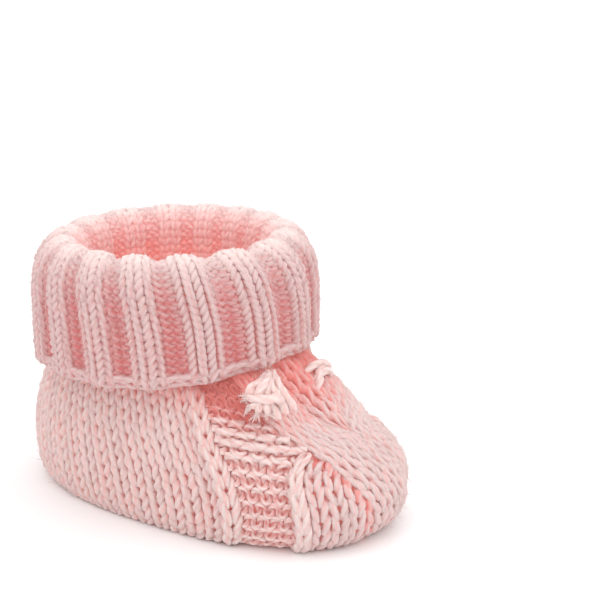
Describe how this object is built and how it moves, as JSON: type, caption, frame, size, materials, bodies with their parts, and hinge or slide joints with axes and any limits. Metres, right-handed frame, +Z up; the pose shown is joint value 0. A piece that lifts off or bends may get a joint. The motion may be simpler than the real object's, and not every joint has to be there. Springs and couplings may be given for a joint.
{
  "type": "baby bootie",
  "caption": "Soft knitted baby bootie with a turned-down ribbed cuff, chain-stitched side seams and a cable crossing over the toe.",
  "frame": {"origin": "on the ground under the middle of the bootie's box", "axes": "+X towards the toe, +Z up, the wearer's right side is -Y"},
  "size_m": [0.1016, 0.0706, 0.0665],
  "materials": {
    "panel_yarn": "matte knitted yarn",
    "purl_yarn": "matte knitted yarn",
    "seam_yarn": "matte knitted yarn",
    "cable_yarn": "matte knitted yarn",
    "lining_yarn": "matte knitted yarn",
    "rib_yarn": "matte knitted yarn",
    "knot_yarn": "matte knitted yarn",
    "sole_yarn": "matte knitted yarn"
  },
  "bodies": {
    "root": {"sole": "sole_yarn", "right_heel_panel": "panel_yarn", "left_heel_panel": "panel_yarn", "heel_seam": "seam_yarn", "right_chain_seam": "seam_yarn", "left_chain_seam": "seam_yarn", "right_purl_panel": "purl_yarn", "left_purl_panel": "purl_yarn", "right_toe_chain": "seam_yarn", "left_toe_chain": "seam_yarn", "right_toe_panel": "cable_yarn", "crossing_rope": "cable_yarn", "centre_rope": "cable_yarn", "far_rope": "cable_yarn", "leg_tube": "lining_yarn", "turned_cuff": "rib_yarn", "cuff_edge": "rib_yarn", "right_knot": "knot_yarn", "left_knot": "knot_yarn"}
  },
  "joints": []
}
